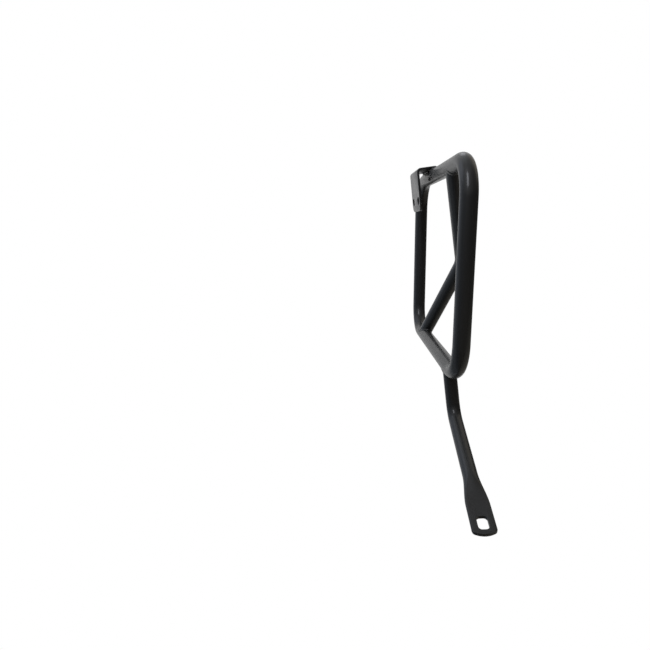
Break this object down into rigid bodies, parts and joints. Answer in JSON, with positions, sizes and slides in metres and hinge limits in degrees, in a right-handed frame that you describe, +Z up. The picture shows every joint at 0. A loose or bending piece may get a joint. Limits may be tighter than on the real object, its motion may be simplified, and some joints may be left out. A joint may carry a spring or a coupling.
{
  "type": "pannier frame",
  "caption": "Welded hoop of bent tube that carries a pannier beside a motorbike, with a bowed brace, a slotted strap bracket on top and a bent strut with a pressed, slotted eye.",
  "frame": {"origin": "midway between the bracket's slots, on its inboard face", "axes": "+X outboard, away from the motorbike; +Y along the hoop from the strut's end to the bracket's end; +Z up"},
  "size_m": [0.078, 0.4112, 0.3614],
  "materials": {
    "black_powder_coat": "satin black powder coat over steel tube and welds"
  },
  "bodies": {
    "root": {"hoop_tube": "black_powder_coat", "hoop_butt_weld": "black_powder_coat", "brace_tube": "black_powder_coat", "brace_upper_weld": "black_powder_coat", "brace_lower_weld": "black_powder_coat", "lower_strut": "black_powder_coat", "strut_weld": "black_powder_coat", "upper_bracket": "black_powder_coat", "bracket_weld": "black_powder_coat"}
  },
  "joints": []
}
